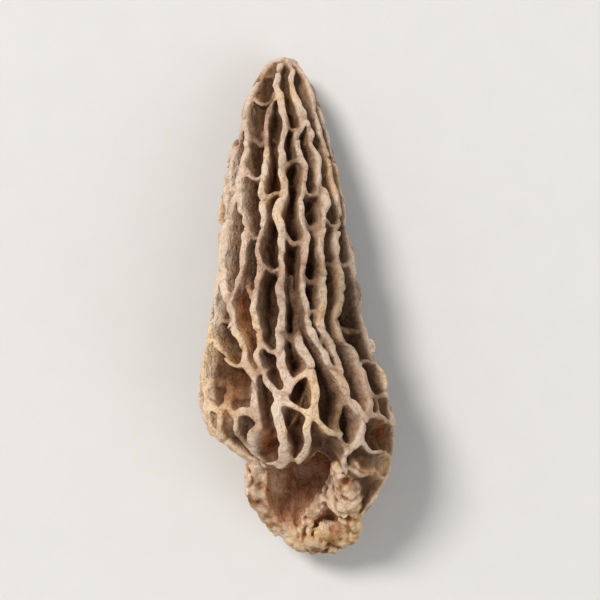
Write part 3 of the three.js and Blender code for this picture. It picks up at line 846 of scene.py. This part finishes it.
def make_mesh():
    flesh, depth, pit, wide, stub, cap, hollow, bead, crumbs = build_field()
    flesh = join_diagonals(flesh)
    verts, quads = surface_nets(flesh)
    say("surface", len(verts), "vertices", len(quads), "quads")
    verts, quads = keep_largest(verts, quads)
    verts = relax(verts, quads, 1, 0.5)
    say("relaxed")
    raw = bpy.data.meshes.new("raw")
    raw.vertices.add(len(verts))
    raw.vertices.foreach_set("co", verts.astype(F).ravel())
    raw.loops.add(len(quads) * 4)
    raw.loops.foreach_set("vertex_index", quads.astype(np.int32).ravel())
    raw.polygons.add(len(quads))
    raw.polygons.foreach_set("loop_start", np.arange(0, len(quads) * 4, 4, dtype=np.int32))
    raw.update(calc_edges=True)
    raw.validate()
    ob = bpy.data.objects.new("raw", raw)
    bpy.context.scene.collection.objects.link(ob)
    thin = ob.modifiers.new("thin", "DECIMATE")
    thin.ratio = min(1.0, MAX_TRIANGLES / (len(quads) * 2.0))
    bpy.context.view_layer.update()
    dg = bpy.context.evaluated_depsgraph_get()
    mesh = bpy.data.meshes.new_from_object(ob.evaluated_get(dg))
    bpy.data.objects.remove(ob)
    bpy.data.meshes.remove(raw)
    say("thinned to", len(mesh.polygons), "faces")

    co = np.empty(len(mesh.vertices) * 3, F)
    mesh.vertices.foreach_get("co", co)
    co = co.reshape(-1, 3)
    at = co.astype(float)
    deep = sample(depth, at)
    share = np.clip(deep / np.maximum(sample(pit, at), 0.2), -0.2, 1.3)
    near = sample(wide, at)
    edge_band = smooth(1.6, 0.85, at[:, 0] - left_at(at[:, 1])) * smooth(4.4, 5.6, at[:, 2]) * smooth(8.6, 10.4, at[:, 1])
    share = share - F(0.5) * edge_band * np.clip(share, 0, 1)
    # a painted highlight: a pale line along the crests at the right edge
    right_edge_highlight = smooth(1.0, 0.35, right_at(at[:, 1]) - at[:, 0]) * smooth(4.6, 5.8, at[:, 2]) \
        * smooth(9.0, 11.0, at[:, 1]) * smooth(25.0, 20.0, at[:, 1])
    pale = edge_band + 0.9 * right_edge_highlight * np.exp(-(near / 0.35) ** 2).astype(F)
    for x, s_, rx, rs, v in PALE:
        pale += (v * np.exp(-((at[:, 0] - x) / rx) ** 2 - ((at[:, 1] - s_) / rs) ** 2) * (at[:, 2] > 5.5)).astype(F)
    on_stub = smooth(-0.06, 0.10, sample(cap, at) - np.minimum(sample(stub, at), sample(bead, at)))
    on_stub *= 1 - smooth(0.25, 0.6, deep) * (at[:, 1] > 5.5)
    on_stub *= 1 - smooth(6.3, 7.3, at[:, 1])
    rim = smooth(0.16, -0.02, sample(bead, at))
    inner = (1 - smooth(-0.05, 0.28, sample(hollow, at))) * (1 - rim)
    on_stub = np.maximum(on_stub, rim)
    # how closely walled in each point is, from blurred occupancy: used below for painted shade in recesses and
    # crevices, and for the pale crests
    full = (np.minimum(flesh, hollow) < 0).astype(F)
    tight = sample(box3(full, max(1, int(round(0.28 / VOXEL)))), at)
    closed = sample(box3((flesh < 0).astype(F), max(1, int(round(0.24 / VOXEL)))), at)
    tight = tight + (closed - tight) * np.clip(1.5 * on_stub, 0, 1)
    broad = sample(box3(full, max(1, int(round(0.75 / VOXEL)))), at)
    warm = np.zeros(len(at), F)
    for x, s_, rx, rs, v in PATCHES:
        warm += (v * np.exp(-((at[:, 0] - x) / rx) ** 2 - ((at[:, 1] - s_) / rs) ** 2) * (at[:, 2] > 5.5)).astype(F)
    # painted shade and painted light from the listed places, with some broad tone
    shade = np.zeros(len(at), F)
    for x, s_, rx, rs, v in PAINTED_LIGHT_AND_TONE:
        shade += (v * np.exp(-((at[:, 0] - x) / rx) ** 2 - ((at[:, 1] - s_) / rs) ** 2)).astype(F)
    shade = np.clip(shade, -0.48, 0.80)
    # positive values act in the pits rather than on the crests: painted light lifting the shaded pits
    on_crest = smooth(0.40, 0.05, share) * (1 - on_stub) * (1 - inner)
    shade = np.where(shade > 0, shade * (1 - F(0.85) * on_crest), shade)
    shade = np.minimum(shade, F(0.80) - F(0.52) * inner)
    shade *= np.maximum(smooth(3.6, 6.2, at[:, 2]), smooth(8.2, 7.2, at[:, 1]) * smooth(0.8, 2.0, at[:, 2]))
    say("attributes")
    values = {"morel_depth": share, "morel_ridge": near, "morel_stub": on_stub,
              "morel_inner": inner, "morel_tight": tight, "morel_broad": broad, "morel_warm": warm, "morel_pale": pale,
              "morel_crumb": sample(crumbs, at), "morel_painted_light_and_tone": shade}
    for name, value in values.items():
        layer = mesh.attributes.new(name, "FLOAT", "POINT")
        layer.data.foreach_set("value", value.astype(F))
    co += np.array(SHIFT, F)
    co *= F(0.001)
    mesh.vertices.foreach_set("co", co.ravel())
    mesh.polygons.foreach_set("use_smooth", np.ones(len(mesh.polygons), bool))
    mesh.update()
    mesh.name = "dried_morel_flesh"
    return mesh


# ------------------------------------------------------------------- material

def flesh_material():
    mat = bpy.data.materials.new("morel_flesh")
    mat.use_nodes = True
    nt = mat.node_tree
    nt.nodes.clear()
    out = nt.nodes.new("ShaderNodeOutputMaterial")
    bsdf = nt.nodes.new("ShaderNodeBsdfPrincipled")
    nt.links.new(bsdf.outputs["BSDF"], out.inputs["Surface"])

    def attr(name):
        n = nt.nodes.new("ShaderNodeAttribute")
        n.attribute_name = name
        return n.outputs["Fac"]

    def maths(op, a, b=None, clamp=False):
        n = nt.nodes.new("ShaderNodeMath")
        n.operation = op
        n.use_clamp = clamp
        for i, v in enumerate((a, b)):
            if v is None:
                continue
            if isinstance(v, (int, float)):
                n.inputs[i].default_value = v
            else:
                nt.links.new(v, n.inputs[i])
        return n.outputs[0]

    def span(v, lo, hi, to0=0.0, to1=1.0):
        n = nt.nodes.new("ShaderNodeMapRange")
        n.interpolation_type = "SMOOTHSTEP"
        nt.links.new(v, n.inputs["Value"])
        for k, val in (("From Min", lo), ("From Max", hi), ("To Min", to0), ("To Max", to1)):
            n.inputs[k].default_value = val
        return n.outputs["Result"]

    def ramp(v, stops):
        n = nt.nodes.new("ShaderNodeValToRGB")
        el = n.color_ramp.elements
        while len(el) < len(stops):
            el.new(0.5)
        for e, (pos, col) in zip(el, stops):
            e.position = pos
            e.color = (*col, 1)
        nt.links.new(v, n.inputs["Fac"])
        return n.outputs["Color"]

    def mix(kind, fac, a, b):
        n = nt.nodes.new("ShaderNodeMix")
        n.data_type = "RGBA"
        n.blend_type = kind
        if isinstance(fac, (int, float)):
            n.inputs["Factor"].default_value = fac
        else:
            nt.links.new(fac, n.inputs["Factor"])
        for key, v in (("A", a), ("B", b)):
            sock = [i for i in n.inputs if i.name == key and i.type == "RGBA"][0]
            if isinstance(v, tuple):
                sock.default_value = (*v, 1)
            else:
                nt.links.new(v, sock)
        return [o for o in n.outputs if o.type == "RGBA"][0]

    coords = nt.nodes.new("ShaderNodeTexCoord").outputs["Object"]

    def tex(scale, detail=3.0, rough=0.55, stretch=None):
        n = nt.nodes.new("ShaderNodeTexNoise")
        n.inputs["Scale"].default_value = scale
        n.inputs["Detail"].default_value = detail
        n.inputs["Roughness"].default_value = rough
        if stretch:
            m = nt.nodes.new("ShaderNodeMapping")
            m.inputs["Scale"].default_value = stretch
            nt.links.new(coords, m.inputs["Vector"])
            nt.links.new(m.outputs["Vector"], n.inputs["Vector"])
        else:
            nt.links.new(coords, n.inputs["Vector"])
        return n.outputs["Fac"]

    depth, stub, inner = attr("morel_depth"), attr("morel_stub"), attr("morel_inner")
    tight, broad = attr("morel_tight"), attr("morel_broad")
    blotch = tex(420.0, 4.0, 0.6)
    patch = tex(150.0, 2.0, 0.5)
    grain = tex(2600.0, 3.0, 0.6)

    # height on the ridge, blurred by blotches, sets the colour from crest to pit
    level = maths("ADD", depth, maths("MULTIPLY", maths("SUBTRACT", blotch, 0.5), 0.42))
    level = maths("ADD", level, maths("MULTIPLY", maths("SUBTRACT", patch, 0.5), 0.30))
    level = maths("ADD", level, maths("MULTIPLY", maths("SUBTRACT", tex(1000.0, 4.0, 0.65), 0.5), 0.38))
    level = maths("ADD", level, maths("MULTIPLY", maths("SUBTRACT", grain, 0.5), 0.20), clamp=True)
    flesh = ramp(level, [
        (0.00, (0.790, 0.582, 0.445)),
        (0.10, (0.668, 0.464, 0.338)),
        (0.24, (0.470, 0.306, 0.198)),
        (0.45, (0.290, 0.172, 0.101)),
        (0.70, (0.182, 0.100, 0.053)),
        (1.00, (0.120, 0.060, 0.031)),
    ])
    # rusty and nearly black patches in the pits
    warm = maths("ADD", attr("morel_warm"), maths("MULTIPLY", maths("SUBTRACT", tex(210.0, 2.0, 0.5), 0.5), 2.4))
    in_pit = span(depth, 0.12, 0.45)
    rust = maths("MULTIPLY", span(warm, 0.15, 0.9), in_pit)
    flesh = mix("MULTIPLY", rust, flesh, (1.50, 1.12, 0.78))
    dark = maths("MULTIPLY", span(warm, -0.15, -0.9), in_pit)
    flesh = mix("MULTIPLY", dark, flesh, (0.60, 0.55, 0.51))
    # painted shade: the more closely it is walled in, the darker
    flesh = mix("MULTIPLY", span(broad, 0.46, 0.72), flesh, (0.84, 0.79, 0.74))
    # pale worn edges where the surface stands proud
    edge = maths("MULTIPLY", span(tight, 0.50, 0.33), span(depth, 0.10, 0.34, 1.0, 0.0))
    worn = span(tex(330.0, 2.0, 0.5), 0.36, 0.62, 0.20, 0.75)
    flesh = mix("MIX", maths("MULTIPLY", edge, worn), flesh, (0.82, 0.645, 0.49))
    # bleached places: the broad crest along one edge, and some junctions; with them a painted highlight along the
    # crests at the right edge
    bleach = maths("MULTIPLY", span(attr("morel_pale"), 0.05, 0.95, 0.0, 0.80), span(blotch, 0.30, 0.62, 0.55, 1.0))
    flesh = mix("MIX", maths("MULTIPLY", bleach, span(broad, 0.55, 0.78, 1.0, 0.15)), flesh, (0.84, 0.68, 0.53))
    # ochre where the warm patches reach the crests
    flesh = mix("MULTIPLY", span(attr("morel_warm"), 0.30, 0.95), flesh, (1.08, 0.88, 0.60))
    # no two ridges dry to quite the same tone
    tone = tex(300.0, 2.0, 0.55, (1.0, 0.5, 1.0))
    flesh = mix("MULTIPLY", span(tone, 0.32, 0.48, 1.0, 0.0), flesh, (0.80, 0.70, 0.65))
    flesh = mix("MULTIPLY", span(tone, 0.52, 0.64), flesh, (1.05, 0.97, 0.80))
    # flecks, and fibres that run along the pits
    fleck = tex(1900.0, 4.0, 0.7)
    flesh = mix("MULTIPLY", span(fleck, 0.34, 0.52, 1.0, 0.0), flesh, (0.74, 0.67, 0.61))
    pale = maths("MULTIPLY", span(fleck, 0.56, 0.74, 0.0, 0.45), span(depth, 0.15, 0.5, 1.0, 0.15))
    flesh = mix("MIX", pale, flesh, (0.87, 0.715, 0.575))
    fibre = tex(2100.0, 3.0, 0.6, (1.0, 0.22, 1.0))
    flesh = mix("MULTIPLY", maths("MULTIPLY", span(fibre, 0.36, 0.56, 1.0, 0.0), in_pit), flesh, (0.70, 0.63, 0.58))

    crumb = span(attr("morel_crumb"), 0.36, 0.70)
    stem_level = maths("ADD", maths("MULTIPLY", grain, 0.34), maths("MULTIPLY", blotch, 0.60))
    stem_level = maths("SUBTRACT", maths("ADD", stem_level, 0.32), maths("MULTIPLY", crumb, 0.50), clamp=True)
    stem = ramp(stem_level, [
        (0.10, (0.150, 0.060, 0.022)),
        (0.28, (0.412, 0.214, 0.101)),
        (0.48, (0.615, 0.392, 0.246)),
        (0.76, (0.815, 0.612, 0.442)),
    ])
    # painted shade: the stub darker and browner where its crevices are closely walled in
    stem = mix("MULTIPLY", span(tight, 0.50, 0.64, 0.0, 0.92), stem, (0.40, 0.22, 0.12))
    stem = mix("MULTIPLY", span(attr("morel_warm"), -0.25, -0.9), stem, (0.62, 0.55, 0.47))
    stem = mix("MULTIPLY", span(patch, 0.50, 0.66), stem, (1.0, 0.95, 0.74))
    colour = mix("MIX", stub, flesh, stem)

    vein = tex(900.0, 4.0, 0.65, (1.0, 0.45, 1.0))
    lining_level = maths("ADD", maths("MULTIPLY", blotch, 0.55), maths("MULTIPLY", vein, 0.65))
    lining_level = maths("ADD", lining_level, maths("MULTIPLY", grain, 0.25), clamp=True)
    lining = ramp(lining_level, [
        (0.48, (0.205, 0.078, 0.036)),
        (0.61, (0.490, 0.208, 0.101)),
        (0.73, (0.660, 0.340, 0.185)),
        (0.86, (0.810, 0.560, 0.375)),
    ])
    colour = mix("MIX", inner, colour, lining)
    # broad places painted a little darker or paler than the rest: painted shade and painted light, with some tone
    scaled = nt.nodes.new("ShaderNodeVectorMath")
    scaled.operation = "SCALE"
    nt.links.new(colour, scaled.inputs[0])
    nt.links.new(maths("ADD", attr("morel_painted_light_and_tone"), 1.0), scaled.inputs["Scale"])
    capped = nt.nodes.new("ShaderNodeVectorMath")
    capped.operation = "MINIMUM"
    capped.inputs[1].default_value = (0.89, 0.70, 0.545)
    nt.links.new(scaled.outputs[0], capped.inputs[0])
    nt.links.new(capped.outputs[0], bsdf.inputs["Base Color"])

    rough = maths("ADD", 0.62, maths("MULTIPLY", grain, 0.28), clamp=True)
    nt.links.new(rough, bsdf.inputs["Roughness"])
    bsdf.inputs["Specular IOR Level"].default_value = 0.18

    bump1 = nt.nodes.new("ShaderNodeBump")
    bump1.inputs["Strength"].default_value = 0.75
    bump1.inputs["Distance"].default_value = 0.0008
    nt.links.new(tex(1500.0, 5.0, 0.65, (1.0, 0.55, 1.0)), bump1.inputs["Height"])
    bump2 = nt.nodes.new("ShaderNodeBump")
    bump2.inputs["Strength"].default_value = 0.6
    bump2.inputs["Distance"].default_value = 0.00030
    nt.links.new(tex(5200.0, 3.0, 0.6), bump2.inputs["Height"])
    nt.links.new(bump1.outputs["Normal"], bump2.inputs["Normal"])
    nt.links.new(bump2.outputs["Normal"], bsdf.inputs["Normal"])
    return mat


mesh = make_mesh()
morel = bpy.data.objects.new("dried_morel_flesh", mesh)
bpy.context.scene.collection.objects.link(morel)
mesh.materials.append(flesh_material())
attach(morel, "root")
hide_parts("dried_morel")

# ---------------------------------------------------------------------- stage

def plain_floor():
    # flat under the morel, rising into a shallow bowl far behind it
    me = bpy.data.meshes.new("floor")
    rings = [(r, 0.0) for r in (0.04, 0.15, 0.30, 0.45)]
    rings += [(0.45 + 0.7 * math.sin(t), 0.7 * (1 - math.cos(t))) for t in np.radians(np.arange(3, 73, 3))]
    n = 96
    points = [(0.0, 0.0, 0.0)] + [(r * math.cos(2 * math.pi * k / n), r * math.sin(2 * math.pi * k / n), z)
                                  for r, z in rings for k in range(n)]
    faces = [(0, 1 + k, 1 + (k + 1) % n) for k in range(n)]
    for i in range(len(rings) - 1):
        p, q = 1 + i * n, 1 + (i + 1) * n
        faces += [(p + k, q + k, q + (k + 1) % n, p + (k + 1) % n) for k in range(n)]
    me.from_pydata(points, [], faces)
    me.polygons.foreach_set("use_smooth", [True] * len(faces))
    ob = bpy.data.objects.new("floor", me)
    bpy.context.scene.collection.objects.link(ob)
    mat = bpy.data.materials.new("floor_paper")
    mat.use_nodes = True
    nt = mat.node_tree
    b = nt.nodes["Principled BSDF"]
    n = nt.nodes.new("ShaderNodeTexNoise")
    n.inputs["Scale"].default_value = 900.0
    n.inputs["Detail"].default_value = 2.0
    r_ = nt.nodes.new("ShaderNodeValToRGB")
    r_.color_ramp.elements[0].color = (0.69, 0.68, 0.66, 1)
    r_.color_ramp.elements[1].color = (0.72, 0.71, 0.69, 1)
    nt.links.new(n.outputs["Fac"], r_.inputs["Fac"])
    nt.links.new(r_.outputs["Color"], b.inputs["Base Color"])
    b.inputs["Roughness"].default_value = 0.9
    b.inputs["Specular IOR Level"].default_value = 0.1
    me.materials.append(mat)
    return ob


def area(name, where, target, size, watts, colour=(1, 1, 1)):
    data = bpy.data.lights.new(name, "AREA")
    data.shape = "DISK"
    data.size = size
    data.energy = watts
    data.color = colour
    ob = bpy.data.objects.new(name, data)
    ob.location = where
    ob.rotation_euler = (Vector(target) - Vector(where)).to_track_quat("-Z", "Y").to_euler()
    bpy.context.scene.collection.objects.link(ob)
    return ob


plain_floor()
world = bpy.data.worlds.new("studio")
world.use_nodes = True
world.node_tree.nodes["Background"].inputs["Color"].default_value = (0.95, 0.97, 1.0, 1)
world.node_tree.nodes["Background"].inputs["Strength"].default_value = 0.36
bpy.context.scene.world = world
area("key", (-0.64, 0.48, 1.04), (0, 0, 0.004), 0.46, 14.2, (1.0, 0.97, 0.93))
area("fill", (0.80, -0.56, 0.88), (0, 0, 0.004), 0.90, 3.7, (0.94, 0.97, 1.0))

bpy.context.scene.view_settings.view_transform = "Standard"
cam_data = bpy.data.cameras.new("camera")
cam_data.lens = 85
cam_data.sensor_width = 36
cam_data.clip_start = 0.005
cam = bpy.data.objects.new("camera", cam_data)
look_at = Vector((0.0, 0.0, 0.0045))
elevation = math.radians(82)
distance = 0.096
cam.location = look_at + distance * Vector((0, -math.cos(elevation), math.sin(elevation)))
cam.rotation_euler = (look_at - cam.location).to_track_quat("-Z", "Y").to_euler()
bpy.context.scene.collection.objects.link(cam)
bpy.context.scene.camera = cam

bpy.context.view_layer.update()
say("done")
